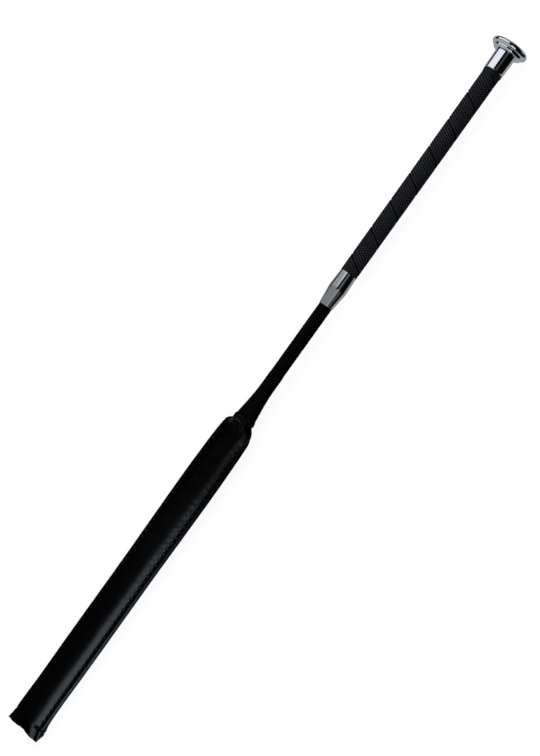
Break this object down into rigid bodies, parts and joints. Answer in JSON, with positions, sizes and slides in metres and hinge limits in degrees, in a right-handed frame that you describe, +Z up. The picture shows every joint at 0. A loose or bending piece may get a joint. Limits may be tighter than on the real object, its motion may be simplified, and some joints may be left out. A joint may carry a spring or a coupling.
{
  "type": "padded riding whip",
  "caption": "Padded riding whip: tapered covered rod, taped grip, chrome mushroom cap and collar, and a flat leather pad bound on at its neck.",
  "frame": {"origin": "middle of the cap's flat face, on the rod's axis", "axes": "+X out of the cap's face, so that the whip runs along -X to the pad's tail; +Z up from the upper face of the pad, which lies flat; +Y across the pad"},
  "size_m": [0.6575, 0.0314, 0.0312],
  "materials": {
    "fibreglass": "pale straw-coloured pultruded rod",
    "black_pvc": "matt black extruded sheath",
    "braided_nylon": "tight black nylon plait with a slight sheen",
    "black_rubber": "matt black rubber",
    "chrome_plate": "bright chrome plate",
    "black_nylon": "moulded black nylon",
    "woven_grip_tape": "coarse woven non-slip tape, matt black",
    "polished_metal": "polished plated collar, a little duller than the cap",
    "waxed_thread": "waxed black thread",
    "black_leather": "smooth semi-gloss black leather",
    "grey_foam": "soft closed-cell foam",
    "seam_thread": "thick black sewing thread"
  },
  "bodies": {
    "root": {"core_rod": "fibreglass", "rod_sheath": "black_pvc", "braided_cover": "braided_nylon", "rod_tip_guard": "black_rubber", "cap_shell": "chrome_plate", "cap_face_disc": "chrome_plate", "cap_liner": "black_nylon", "grip_sleeve": "black_rubber", "grip_tape": "woven_grip_tape", "grip_end_ring": "black_rubber", "ferrule": "polished_metal", "ferrule_bush": "black_nylon", "neck_binding": "waxed_thread", "neck_tie": "waxed_thread", "pad_upper_leather": "black_leather", "pad_lower_leather": "black_leather", "pad_upper_foam": "grey_foam", "pad_lower_foam": "grey_foam", "seam_thread_near": "seam_thread", "seam_thread_far": "seam_thread"}
  },
  "joints": []
}
